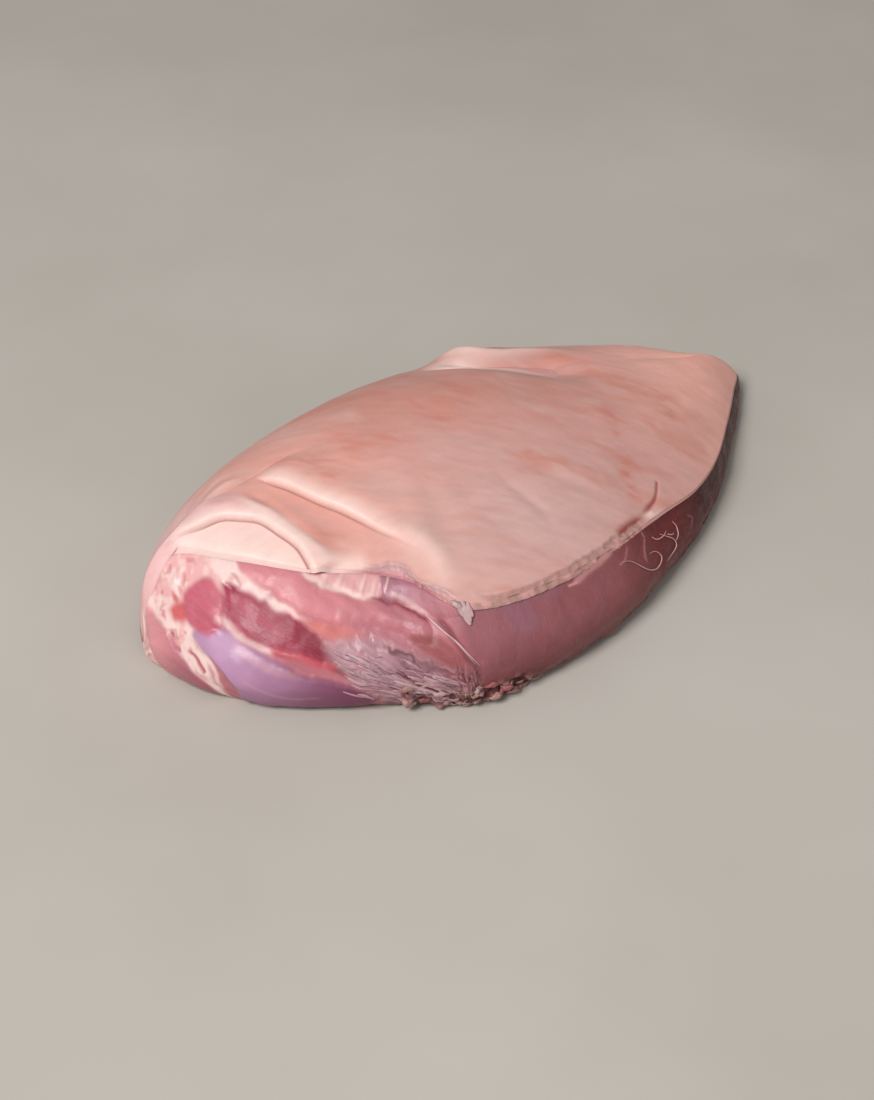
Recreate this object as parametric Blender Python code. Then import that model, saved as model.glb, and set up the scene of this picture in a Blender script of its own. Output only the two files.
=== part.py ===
"""A raw, boneless joint of pork with its rind on, lying rind up.

The body is one closed solid. Rings of points climb from the flat underside, up the cut
meat of the side wall, round the thick edge of the rind, and over the domed rind to a crest.
Muscles, seams and folds then push those points along the surface normal.

Lengths are in millimetres here, and scaled to metres when the mesh is made.
X runs along the joint from the blunt end to the pointed tip, Y across it, Z up.
"""

import math

import bmesh
import bpy
import numpy as np

MM = 0.001

# The outline, clockwise seen from above. Each station gives a point on the rind's cut edge
# (x, y, z), the wall's outermost point below it (x, y), and how gently the rind rises from its
# edge: 0 curls round like an ellipse, and 1 slopes up like a low dome.
STATIONS = [
    (238, 39, 13, 241, 40, 1),  # the tip
    (220, 19, 17, 224, 17, 1),
    (194, -6, 20, 197, -9, 1),
    (163, -34, 25, 166, -37, 1),
    (128, -57, 32, 131, -61, 1),  # the long front wall
    (90, -71, 40, 94, -80, 1),
    (50, -85, 46, 54, -97, 1),
    (10, -93, 50, 14, -106, 1),
    (-24, -93, 53, -22, -108, 1),
    (-46, -84, 55, -48, -105, 1),  # the corner, where the rind is torn back
    (-56, -60, 57, -76, -88, 0.9),
    (-71, -43, 58, -102, -71, 0.8),  # the cut face of the blunt end
    (-97, -27, 60, -127, -54, 0.6),
    (-119, -2, 60, -148, -32, 0.4),
    (-141, 28, 54, -161, -6, 0.2),
    (-157, 30, 36, -165, 10, 0),  # the rind comes down to the underside
    (-163, 20, 11, -164, 20, 0),
    (-154, 44, 9, -154, 44, 0),
    (-124, 74, 9, -124, 74, 0),
    (-74, 97, 9, -74, 97, 0),  # the back, covered by rind
    (-10, 110, 9, -10, 110, 0),
    (60, 114, 9, 60, 114, 0),
    (124, 104, 9, 124, 104, 0),
    (187, 79, 9, 187, 79, 0.2),
    (219, 53, 10, 219, 53, 0.6),
]
# The crest, where the two sides of the rind meet: its ends, its distance from the long axis,
# and its heights, spaced evenly from the blunt end to the tip.
CREST_X = (-92, 200)
CREST_Y = 38
CREST_HEIGHTS = (70, 77, 81, 77, 66, 53, 37)

COLUMNS = 125
WALL_ROWS = 12
RIND_ROWS = 22
WALL_FULLNESS = 1.7  # 1 gives a straight wall, and more a rounder one
SIDE_LEVEL = 0.32  # the wall's widest level, as a share of its height
SIDE_LEVEL_MOST = 16
FOOT_INSET = 9  # how far the underside's edge lies inside the widest level
FOOT_INSET_SHARE = 0.6
RIND_THICKNESS = 3.5
RECESS = 2  # how far the meat draws back under the rind's cut edge
RECESS_FROM, RECESS_FULL = 12, 30  # edge heights between which it sets in
SLIT = 0.05  # the last ring stays this share of the way off the crest

# Folds of the rind: a line in plan, walked with its raised side on the left, then the
# height of the roll on that side, the depth of the crease, the widths of both, and the shares
# of the line over which the fold grows and dies away.
FOLDS = [
    ([(-142, 31), (-125, 25), (-108, 16), (-97, -5), (-94, -25), (-95, -34)], 3.0, 1.8, 6.5, 5, 0.3, 0.04),
    ([(-90, 39), (-75, 12), (-64, -9), (-54, -30), (-44, -54)], 2.8, 2.6, 9, 8, 0.12, 0.5),
]
# Ripples of the back flap: a line in plan, its height (below 0 for a furrow) and its half width.
RIPPLES = [
    ([(50, 90), (67, 67), (92, 45), (120, 27)], 4.6, 5),
    ([(60, 86), (82, 57), (115, 47), (144, 39)], -3.6, 4),
    ([(70, 92), (98, 66), (140, 54)], 3.2, 5),
]
# The hollow behind the crest, and the rounded end of the back flap beyond it.
HOLLOW = [(36, 90), (60, 72), (85, 54), (110, 38), (132, 28)]
HOLLOW_DEPTH = 9
HOLLOW_WIDTH = 10
FLAP_CENTRE = (80, 92)
FLAP_SIZE = (26, 12)
FLAP_HEIGHT = 4

# Muscles and seams of the cut meat: a line through (station, share of the wall's height),
# how far it stands out, and its half width. A negative height is a groove.
STATION_STEP = 30
WALL_HEIGHT = 68
MUSCLES = [
    ([(12.6, 0.93), (11.6, 0.82), (10.5, 0.72), (9.7, 0.62)], 4.0, 9),  # upper band
    ([(13.0, 0.76), (12.3, 0.62), (11.4, 0.48), (10.5, 0.38)], -3.0, 7),  # lower band
    ([(13.0, 0.36), (12.2, 0.28), (11.2, 0.18), (10.4, 0.12)], 5.0, 15),  # shank
    ([(14.6, 0.62), (14.2, 0.4), (13.6, 0.25), (13.1, 0.14)], 3.0, 8),  # outer strip
    ([(9.7, 0.95), (9.5, 0.78), (9.2, 0.62), (8.9, 0.46)], -3.0, 8),  # corner seam
    ([(8.6, 0.3), (7.4, 0.42), (6.0, 0.5), (4.8, 0.5)], 3.0, 20),  # front muscle
]


def smooth_line(points, per_span, closed=False):
    """Points along the smooth curve through the given ones."""
    p = np.asarray(points, float)
    spans = len(p) if closed else len(p) - 1
    u = np.linspace(0, spans, spans * per_span + (not closed), endpoint=not closed)
    i = np.minimum(u.astype(int), spans - 1)
    f = (u - i)[:, None]
    if not closed:
        p = np.vstack([2 * p[0] - p[1], p, 2 * p[-1] - p[-2]])
        i = i + 1
    a, b, c, d = (p[(i + k) % len(p)] for k in (-1, 0, 1, 2))
    return 0.5 * (
        2 * b + (c - a) * f + (2 * a - 5 * b + 4 * c - d) * f**2 + (3 * b - 3 * c + d - a) * f**3
    )


def resample(curve, count):
    """Count points of a closed curve, evenly spaced by station number."""
    ends = np.vstack([curve, curve[:1]])
    at = np.linspace(0, len(curve), count, endpoint=False)
    steps = np.arange(len(ends))
    return np.column_stack([np.interp(at, steps, ends[:, k]) for k in range(ends.shape[1])])


def smoothstep(low, high, x):
    t = np.clip((x - low) / (high - low), 0, 1)
    return t * t * (3 - 2 * t)


def near_line(line, x, y):
    """For each point, its distance from the line, positive on the left, and how far along it is."""
    path = smooth_line(line, 12)
    shape = x.shape
    points = np.stack([x.ravel(), y.ravel()], 1)
    best = np.full(len(points), np.inf)
    signed = np.zeros(len(points))
    along = np.zeros(len(points))
    for k, (a, b) in enumerate(zip(path[:-1], path[1:])):
        d = b - a
        t = np.clip((points - a) @ d / (d @ d), 0, 1)
        off = points - a - t[:, None] * d
        distance = np.hypot(off[:, 0], off[:, 1])
        side = np.sign(d[0] * off[:, 1] - d[1] * off[:, 0])
        closer = distance < best
        best = np.where(closer, distance, best)
        signed = np.where(closer, np.where(side < 0, -distance, distance), signed)
        along = np.where(closer, (k + t) / (len(path) - 1), along)
    return signed.reshape(shape), along.reshape(shape)


def crest_height(x):
    """Height of the crest, a smooth curve through CREST_HEIGHTS."""
    share = np.clip((x - CREST_X[0]) / (CREST_X[1] - CREST_X[0]), 0, 1)
    spaced = np.linspace(0, 1, len(CREST_HEIGHTS))
    line = smooth_line(np.column_stack([spaced, CREST_HEIGHTS]), 12)
    return np.interp(share, line[:, 0], line[:, 1])


def wall_point(rim, side, outward, v):
    """The wall at share v of its height: round below its widest level, then leaning to the rim."""
    height = rim[:, 2]
    level = np.minimum(SIDE_LEVEL * height, SIDE_LEVEL_MOST)
    inset = np.minimum(FOOT_INSET, FOOT_INSET_SHARE * height)
    z = v * height
    low = np.clip(z / level, 0, 1)
    high = np.clip((z - level) / (height - level), 0, 1) ** WALL_FULLNESS
    tuck = inset * (1 - np.sqrt(1 - (1 - low) ** 2))
    plan = side - outward * tuck[:, None] + (rim[:, :2] - side) * high[:, None]
    return np.column_stack([plan, z])


def rind_point(edge, crest, gentle, angle):
    """The rind from its edge (angle 0) to the crest (90 degrees)."""
    plan = crest[:, :2] + (edge[:, :2] - crest[:, :2]) * math.cos(angle)
    rise = math.sin(angle) * (1 - gentle) + math.sin(angle) ** 2 * gentle
    z = edge[:, 2] + (crest[:, 2] - edge[:, 2]) * rise
    return np.column_stack([plan, z])


def base_rings():
    """The plain form: rings of points from the underside's edge to the crest."""
    stations = resample(smooth_line(STATIONS, 16, closed=True), COLUMNS)
    rim, side, gentle = stations[:, :3], stations[:, 3:5], stations[:, 5]
    outward = side - side.mean(0)
    outward /= np.linalg.norm(outward, axis=1)[:, None]
    meat_top = 1 - RIND_THICKNESS / rim[:, 2]
    recess = RECESS * smoothstep(RECESS_FROM, RECESS_FULL, rim[:, 2])
    rings = []
    for k in range(WALL_ROWS + 1):
        share = k / WALL_ROWS
        ring = wall_point(rim, side, outward, meat_top * share)
        ring[:, :2] -= outward * (recess * smoothstep(0.5, 1, share))[:, None]
        rings.append(ring)
    rings.append(wall_point(rim, side, outward, meat_top))
    rings.append(rim)

    share = (rim[:, 0] - rim[:, 0].min()) / np.ptp(rim[:, 0])
    crest_x = CREST_X[0] + (CREST_X[1] - CREST_X[0]) * share
    crest = np.column_stack([crest_x, np.full(COLUMNS, CREST_Y), crest_height(crest_x)])
    last = math.acos(SLIT)
    rings += [rind_point(rim, crest, gentle, last * k / RIND_ROWS) for k in range(1, RIND_ROWS + 1)]
    return np.array(rings)


def ring_normals(rings):
    along = np.roll(rings, -1, 1) - np.roll(rings, 1, 1)
    up = np.gradient(rings, axis=0)
    normals = np.cross(up, along)
    return normals / np.linalg.norm(normals, axis=2)[..., None]


def rind_relief(x, y):
    """Folds, ripples, hollow and flap of the rind, along its normal."""
    total = np.zeros_like(x)
    for line, roll, crease, roll_width, crease_width, grow, die in FOLDS:
        d, along = near_line(line, x, y)
        raised = roll * np.exp(-(((d - roll_width) / roll_width) ** 2))
        sunk = crease * np.exp(-((d / crease_width) ** 2))
        ends = smoothstep(0, grow, along) * smoothstep(1, 1 - die, along)
        total += (raised - sunk) * ends
    for line, height, half_width in RIPPLES:
        d, along = near_line(line, x, y)
        ends = smoothstep(0, 0.3, along) * smoothstep(1, 0.6, along)
        total += height * np.exp(-((d / half_width) ** 2)) * ends
    d, along = near_line(HOLLOW, x, y)
    ends = smoothstep(0, 0.3, along) * smoothstep(1, 0.6, along)
    total -= HOLLOW_DEPTH * np.exp(-((d / HOLLOW_WIDTH) ** 2)) * ends
    across = (x - FLAP_CENTRE[0]) / FLAP_SIZE[0]
    away = (y - FLAP_CENTRE[1]) / FLAP_SIZE[1]
    return total + FLAP_HEIGHT * np.exp(-(across**2) - away**2)


def meat_relief(station, share):
    """Muscles and seams of the wall, along its normal."""
    total = np.zeros_like(share)
    for line, height, half_width in MUSCLES:
        scaled = [(s * STATION_STEP, v * WALL_HEIGHT) for s, v in line]
        d, along = near_line(scaled, station * STATION_STEP, share * WALL_HEIGHT)
        total += height * np.exp(-((d / half_width) ** 2))
    return total * smoothstep(0, 0.15, share) * smoothstep(1, 0.9, share)


def shaped_rings():
    rings = base_rings()
    normals = ring_normals(rings)
    wall = WALL_ROWS + 1
    station = np.arange(COLUMNS) * len(STATIONS) / COLUMNS
    share = np.arange(wall)[:, None] / WALL_ROWS
    relief = np.zeros(rings.shape[:2])
    relief[:wall] = meat_relief(np.broadcast_to(station, (wall, COLUMNS)), share + 0 * station)
    rind = rings[wall + 2 :]
    relief[wall + 2 :] = rind_relief(rind[..., 0], rind[..., 1])
    rings = rings + normals * relief[..., None]
    rings[0, :, 2] = 0
    return rings


def centred(rings):
    middle = (rings.min((0, 1)) + rings.max((0, 1))) / 2
    return rings - (middle[0], middle[1], 0)


def meat_material():
    material = bpy.data.materials.new("pork")
    material.use_nodes = True
    shader = material.node_tree.nodes["Principled BSDF"]
    shader.inputs["Base Color"].default_value = (0.62, 0.30, 0.25, 1)
    shader.inputs["Roughness"].default_value = 0.45
    shader.inputs["Metallic"].default_value = 0
    return material


def pork_joint():
    """One closed mesh: rings joined by quads, a flat underside, and the crest sewn shut."""
    rings = centred(shaped_rings()) * MM
    mesh = bpy.data.meshes.new("pork_joint")
    bm = bmesh.new()
    verts = [[bm.verts.new(point) for point in ring] for ring in rings]
    for lower, upper in zip(verts[:-1], verts[1:]):
        for k in range(COLUMNS):
            after = (k + 1) % COLUMNS
            bm.faces.new((lower[k], upper[k], upper[after], lower[after]))
    bm.faces.new(verts[0])
    crest = bm.faces.new(verts[-1][::-1])
    bmesh.ops.triangulate(bm, faces=[crest])
    bm.to_mesh(mesh)
    bm.free()
    mesh.shade_smooth()
    mesh.materials.append(meat_material())
    joint = bpy.data.objects.new("pork_joint", mesh)
    bpy.context.scene.collection.objects.link(joint)
    return joint


def main():
    for old in list(bpy.data.objects):
        bpy.data.objects.remove(old)
    pork_joint()


main()
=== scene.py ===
"""The looks of a raw pork joint: a folded sheet of rind over a body of bare muscle.

Both are grown from the same outline as the CAD solid, at about a millimetre's detail. The
form is worked out in millimetres, with X from the blunt end to the pointed tip, and scaled
to metres when each mesh is made. A place on the side wall is given as (station, share),
where station counts along STATIONS and share runs from the underside (0) to the rind's
edge (1). A place on the rind is given in plan, as (x, y).
"""
import itertools
import math

import bpy
import numpy as np
from mathutils import Matrix, Vector


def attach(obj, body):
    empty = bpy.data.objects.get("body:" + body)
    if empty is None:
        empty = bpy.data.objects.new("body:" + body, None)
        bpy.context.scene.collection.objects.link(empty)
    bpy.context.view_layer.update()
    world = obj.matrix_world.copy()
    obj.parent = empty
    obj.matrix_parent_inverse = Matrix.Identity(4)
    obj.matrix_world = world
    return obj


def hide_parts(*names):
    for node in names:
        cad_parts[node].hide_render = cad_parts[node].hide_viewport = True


MM = 0.001
CENTRE = (37.7, 1.6)  # the middle of the CAD solid's plan, in the outline's millimetres

# ------------------------------------------------------------------ the plain form
# Clockwise seen from above: the rind's cut edge (x, y, z), the wall's widest point (x, y), and
# how straight the rind slopes up from its edge: 0 curls round like an ellipse, 1 rises gently.
STATIONS = np.array([
    (238, 39, 13, 241, 40, 1),  # 0, the tip
    (220, 19, 17, 224, 17, 1),
    (194, -6, 20, 197, -9, 1),
    (163, -34, 25, 166, -37, 1),
    (128, -57, 32, 131, -61, 1),
    (90, -71, 40, 94, -80, 1),  # 5, the long front wall
    (50, -85, 46, 54, -97, 1),
    (10, -93, 50, 14, -106, 1),
    (-24, -93, 53, -22, -108, 1),
    (-46, -84, 55, -48, -105, 1),  # 9, the corner
    (-56, -60, 57, -76, -88, 0.9),
    (-71, -43, 58, -102, -71, 0.8),
    (-97, -27, 60, -127, -54, 0.6),  # 12, the cut face of the blunt end
    (-119, -2, 60, -148, -32, 0.4),
    (-141, 28, 54, -161, -6, 0.2),
    (-157, 30, 36, -165, 10, 0),
    (-163, 20, 11, -164, 20, 0),  # 16, the rind comes down to the underside
    (-154, 44, 9, -154, 44, 0),
    (-124, 74, 9, -124, 74, 0),
    (-74, 97, 9, -74, 97, 0),
    (-10, 110, 9, -10, 110, 0),  # 20, the back
    (60, 114, 9, 60, 114, 0),
    (124, 104, 9, 124, 104, 0),
    (187, 79, 9, 187, 79, 0.2),
    (219, 53, 10, 219, 53, 0.6),
], float)
CREST_X = (-92, 200)
CREST_Y = 38
CREST_HEIGHTS = (70, 77, 81, 77, 66, 53, 37)
WALL_FULLNESS = 1.7
SIDE_LEVEL = 0.32
SIDE_LEVEL_MOST = 16
FOOT_INSET = 9
FOOT_INSET_SHARE = 0.6
OUTWARD_FROM = STATIONS[:, 3:5].mean(0)
MIDDLE = np.array([25.0, 10.0])  # where the rings of the hidden faces shrink to


def catmull_rom(a, b, c, d, f):
    return 0.5 * (
        2 * b + (c - a) * f + (2 * a - 5 * b + 4 * c - d) * f**2 + (3 * b - 3 * c + d - a) * f**3
    )


def around(stations):
    """The outline at each station number: (n, 6) values on the smooth closed curve."""
    cell = np.floor(stations).astype(int)
    share = (stations - cell)[:, None]
    return catmull_rom(*(STATIONS[(cell + k) % len(STATIONS)] for k in (-1, 0, 1, 2)), share)


def smooth_line(points, per_span=10):
    """Points along the smooth open curve through the given ones."""
    p = np.asarray(points, float)
    spans = len(p) - 1
    u = np.linspace(0, spans, spans * per_span + 1)
    cell = np.minimum(u.astype(int), spans - 1)
    p = np.vstack([2 * p[0] - p[1], p, 2 * p[-1] - p[-2]])
    return catmull_rom(*(p[cell + k] for k in (0, 1, 2, 3)), (u - cell)[:, None])


def smoothstep(low, high, x):
    t = np.clip((x - low) / (high - low), 0, 1)
    return t * t * (3 - 2 * t)


def bell(x):
    return np.exp(-(x**2))


def scatter(code):
    """A repeatable random value from -1 to 1 for each whole number."""
    code = code.astype(np.uint32)
    code = (code ^ (code >> 16)) * np.uint32(0x7FEB352D)
    code = (code ^ (code >> 15)) * np.uint32(0x846CA68B)
    return (code ^ (code >> 16)) / 2.0**31 - 1


def noise(points, size, seed=0):
    """Smooth random values from -1 to 1 that change over about size, at (..., 2 or 3) points."""
    p = points / np.asarray(size, float) + 100
    cell = np.floor(p).astype(np.int64)
    f = p - cell
    f = f * f * (3 - 2 * f)
    total = 0
    for corner in itertools.product((0, 1), repeat=p.shape[-1]):
        weight = 1
        code = np.int64(seed * 7919)
        for k, step in enumerate(corner):
            weight = weight * (f[..., k] if step else 1 - f[..., k])
            code = code + (cell[..., k] + step) * (73856093, 19349663, 83492791)[k]
        total = total + weight * scatter(code & 0xFFFFFFFF)
    return total


def fractal(points, size, octaves, seed=0):
    size = np.asarray(size, float)
    return sum(noise(points, size / 2**k, seed + k) / 2**k for k in range(octaves))


def near_line(line, points, reach):
    """Distance from the line (positive on its left) and share along it, for points within reach."""
    path = smooth_line(line)
    best = np.full(points.shape[:-1], np.inf)
    signed = best.copy()
    along = np.zeros_like(best)
    low, high = path.min(0) - reach, path.max(0) + reach
    near = ((points > low) & (points < high)).all(-1)
    p = points[near]
    b, s, t = best[near], signed[near], along[near]
    for k, (start, end) in enumerate(zip(path[:-1], path[1:])):
        step = end - start
        f = np.clip((p - start) @ step / (step @ step), 0, 1)
        off = p - start - f[:, None] * step
        distance = np.hypot(off[:, 0], off[:, 1])
        side = np.where(step[0] * off[:, 1] - step[1] * off[:, 0] < 0, -1, 1)
        closer = distance < b
        b = np.where(closer, distance, b)
        s = np.where(closer, distance * side, s)
        t = np.where(closer, (k + f) / (len(path) - 1), t)
    best[near], signed[near], along[near] = b, s, t
    return signed, along


def crest_height(x):
    share = np.clip((x - CREST_X[0]) / (CREST_X[1] - CREST_X[0]), 0, 1)
    spaced = np.linspace(0, 1, len(CREST_HEIGHTS))
    line = smooth_line(np.column_stack([spaced, CREST_HEIGHTS]))
    return np.interp(share, line[:, 0], line[:, 1])


def outward_at(side):
    out = side - OUTWARD_FROM
    return out / np.linalg.norm(out, axis=-1, keepdims=True)


def wall_point(outline, share):
    """The plain wall: round below its widest level, then leaning in to the rind's edge."""
    rim, side = outline[..., :3], outline[..., 3:5]
    height = rim[..., 2]
    level = np.minimum(SIDE_LEVEL * height, SIDE_LEVEL_MOST)
    inset = np.minimum(FOOT_INSET, FOOT_INSET_SHARE * height)
    z = share * height
    low = np.clip(z / level, 0, 1)
    high = np.clip((z - level) / (height - level), 0, 1) ** WALL_FULLNESS
    tuck = inset * (1 - np.sqrt(1 - (1 - low) ** 2))
    plan = side - outward_at(side) * tuck[..., None] + (rim[..., :2] - side) * high[..., None]
    return np.concatenate([plan, z[..., None]], -1)


def rind_point(outline, share):
    """The plain rind, from its edge (share 0) up to the crest (share 1)."""
    rim, gentle = outline[..., :3], outline[..., 5:]
    low, high = STATIONS[:, 0].min(), STATIONS[:, 0].max()
    across = (rim[..., 0] - low) / (high - low)
    crest_x = CREST_X[0] + (CREST_X[1] - CREST_X[0]) * across
    crest = np.stack([crest_x, np.full_like(crest_x, CREST_Y), crest_height(crest_x)], -1)
    reach = np.clip(1 - share, 0, 1)[..., None]
    plan = crest[..., :2] + (rim[..., :2] - crest[..., :2]) * reach
    rise = np.sqrt(1 - reach**2) * (1 - gentle) + (1 - reach**2) * gentle
    z = rim[..., 2:] + (crest[..., 2:] - rim[..., 2:]) * rise
    return np.concatenate([plan, z], -1)


def columns(spacing):
    """Station numbers whose spacing along the outline, in mm, follows (station, mm) pairs."""
    fine = np.linspace(0, len(STATIONS), 6001)
    outline = around(fine)[:, 3:5]
    steps = np.linalg.norm(np.diff(outline, axis=0), axis=1)
    at, wanted = zip(*spacing)
    rate = steps / np.interp((fine[1:] + fine[:-1]) / 2, at, wanted)
    count = np.concatenate([[0], np.cumsum(rate)])
    total = int(round(count[-1]))
    return np.interp(np.arange(total) * count[-1] / total, count, fine)


ARC = np.concatenate([[0], np.cumsum(np.linalg.norm(
    np.diff(np.vstack([STATIONS, STATIONS[:1]])[:, 3:5], axis=0), axis=1))])
WALL_HEIGHT = 64


def on_wall(places):
    """(station, share) places as millimetres along and up the wall."""
    places = np.asarray(places, float)
    along = np.interp(places[..., 0], np.arange(len(ARC)), ARC)
    return np.stack([-along, places[..., 1] * WALL_HEIGHT], -1)


def rind_thickness(station):
    """The cut edge's thickness: skin alone round the blunt end, skin and fat along the front."""
    at = (0, 4, 5.4, 7, 8.8, 9.6, 11, 15, 16.5, 25)
    return np.interp(station, at, (1.2, 1.2, 2.0, 3.0, 3.6, 2.0, 1.2, 1.2, 3, 1.2))


def normals_of(rings):
    """Outward unit normals of a closed stack of rings, (rows, columns, 3)."""
    along = np.roll(rings, -1, 1) - np.roll(rings, 1, 1)
    up = np.gradient(rings, axis=0)
    normals = np.cross(up, along)
    return normals / np.maximum(np.linalg.norm(normals, axis=2), 1e-9)[..., None]


# ------------------------------------------------------------------ colours
def srgb(red, green, blue):
    value = np.array([red, green, blue]) / 255
    return np.where(value < 0.04045, value / 12.92, ((value + 0.055) / 1.055) ** 2.4)


RIND = srgb(214, 158, 149)
RIND_PALE = srgb(212, 172, 164)
RIND_STRETCHED_AND_HIGHLIGHT = srgb(248, 216, 206)
RIND_SALMON = srgb(230, 168, 155)
RIND_BROWN = srgb(200, 138, 124)
RIND_BLUSH_AND_SHADE = srgb(204, 118, 96)
RIND_CREASE_SHADE = srgb(128, 62, 54)
RIND_BLOOD = srgb(146, 42, 26)
RIND_TIP_LIT = srgb(246, 182, 168)
RIND_GREY = srgb(208, 168, 156)
RIND_SHADE = srgb(178, 134, 126)
RIND_LEFT = srgb(226, 182, 182)
FAT = srgb(236, 204, 198)
FAT_PINK = srgb(222, 160, 158)
FAT_TAN = srgb(178, 136, 128)
FAT_GREY = srgb(192, 156, 156)
GRISTLE_RED = srgb(202, 98, 98)
MAUVE = srgb(156, 97, 104)
MAUVE_BROWN = srgb(146, 84, 86)
MAUVE_DARK = srgb(108, 46, 46)
MAUVE_DARKEST = srgb(64, 24, 20)
PINK = srgb(211, 136, 142)
PINK_RIGHT = srgb(182, 112, 120)
LOBE = srgb(172, 116, 130)
LOBE_RIGHT = srgb(182, 118, 124)
ROUND = srgb(192, 98, 114)
CRIMSON = srgb(164, 62, 82)
CRIMSON_DARK = srgb(128, 46, 58)
RED = srgb(190, 84, 94)
BROWN = srgb(158, 88, 90)
SILVER = srgb(184, 140, 172)
SILVER_RIGHT = srgb(118, 58, 84)
FILM = srgb(142, 94, 108)
ORANGE = srgb(196, 112, 108)
FLESH = srgb(212, 144, 146)
FLESH_LOW = srgb(160, 92, 106)
FIBRE = srgb(218, 162, 162)
GREY = srgb(188, 146, 154)
GREY_DARK = srgb(124, 78, 86)
BLOOD = srgb(84, 32, 36)


def blend(base, colour, amount):
    return base + (colour - base) * amount[..., None]


# ------------------------------------------------------------------ muscles, fat and seams
# Each region of the wall: its name, its outline as (station, share) places, its colours at its
# left and right ends, its edge's softness in mm, and how far it swells out in mm.
REGIONS = [
    ("fat bed", [(16.2, 1.1), (12.9, 1.1), (12.75, .93), (13.1, .8), (13.1, .6), (13.25, .36), (13.0, .1),
     (12.9, -.2), (15.4, -.2), (16.2, .4)], FAT, FAT, 2.0, 0.6),
    ("red flesh", [(14.05, .69), (13.86, .73), (13.66, .74), (13.6, .66), (13.69, .61), (13.89, .61)],
     GRISTLE_RED, GRISTLE_RED, 2.2, .2),
    ("left flesh", [(15.0, .82), (14.43, .65), (14.06, .52), (13.78, .38), (13.49, .25), (13.16, .11),
     (13.1, -.2), (14.3, -.2), (14.62, .15), (15.1, .47)], FLESH, FLESH_LOW, 1.2, 1.4),
    ("silverskin", [(13.55, .55), (13.22, .64), (12.96, .63), (12.78, .59), (12.45, .54), (12.04, .47),
     (11.71, .405), (11.2, .36), (10.85, .31), (10.55, .24), (10.5, .16), (10.9, .02), (11.6, -.2),
     (12.7, -.2), (12.72, .12), (12.8, .25), (13.13, .40), (13.4, .48)], SILVER, SILVER_RIGHT, 1.6, 1.6),
    ("crimson", [(13.15, .86), (12.93, .86), (12.75, .84), (12.46, .82), (12.08, .77), (11.68, .69),
     (11.4, .6), (10.9, .48), (10.65, .36), (10.9, .36), (11.3, .45), (11.7, .52), (12.31, .57),
     (12.67, .60), (12.89, .65), (13.05, .74)], CRIMSON, CRIMSON_DARK, 1.0, -1.6),
    ("upper band", [(13.05, 1.1), (12.3, 1.1), (11.86, .93), (11.40, .885), (10.92, .855), (10.35, .85),
     (9.79, .83), (9.60, .74), (9.68, .66), (9.97, .66), (10.41, .71), (10.84, .72), (11.30, .73),
     (11.67, .76), (11.90, .78), (12.26, .84), (12.51, .88), (12.76, .91), (13.0, .96)], PINK, PINK_RIGHT,
     .8, 2.2),
    ("cream blob", [(13.0, .905), (12.83, .92), (12.62, .89), (12.44, .855), (12.54, .83), (12.74, .85),
     (12.95, .87)], FAT, FAT, 1.6, 0.2),
    ("cream strip", [(12.45, .83), (12.15, .82), (11.9, .77), (11.7, .74), (12.12, .77), (12.32, .79)],
     FAT, FAT_PINK, 1.2, .15),
    ("orange film", [(11.75, .75), (11.28, .72), (10.9, .68), (10.75, .64), (11.1, .61), (11.43, .65),
     (11.65, .69)], ORANGE, ORANGE, 1.8, .2),
    ("fibre band", [(12.0, 1.1), (10.62, 1.1), (10.61, .87), (10.93, .865), (11.38, .9), (11.8, .96)],
     FIBRE, FIBRE, .7, .9),
    ("lobe", [(10.6, 1.1), (10.58, .88), (10.1, .87), (9.75, .85), (9.45, .84), (9.2, .86), (9.0, .92),
     (8.9, 1.1)], LOBE, LOBE_RIGHT, .8, 1.8),
    ("strings", [(11.35, .60), (11.0, .64), (10.7, .655), (10.3, .62), (9.9, .58), (9.5, .53), (9.2, .49),
     (8.95, .42), (8.9, -.2), (10.2, -.2), (10.5, .22), (10.8, .34), (11.1, .45), (11.3, .53)], GREY,
     GREY_DARK, 3.6, .4),
    ("brown end", [(9.97, .67), (9.66, .71), (9.45, .70), (9.25, .62), (9.15, .54), (9.3, .50),
     (9.6, .56), (9.9, .62)], BROWN, BROWN, 1.5, 0.5),
    ("round muscle", [(13.68, .80), (13.42, .87), (13.25, .86), (13.09, .79), (13.06, .72), (13.08, .64),
     (13.22, .58), (13.46, .57), (13.59, .60), (13.72, .67), (13.73, .75)], ROUND, ROUND, 1.6, 1.6),
]
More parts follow.
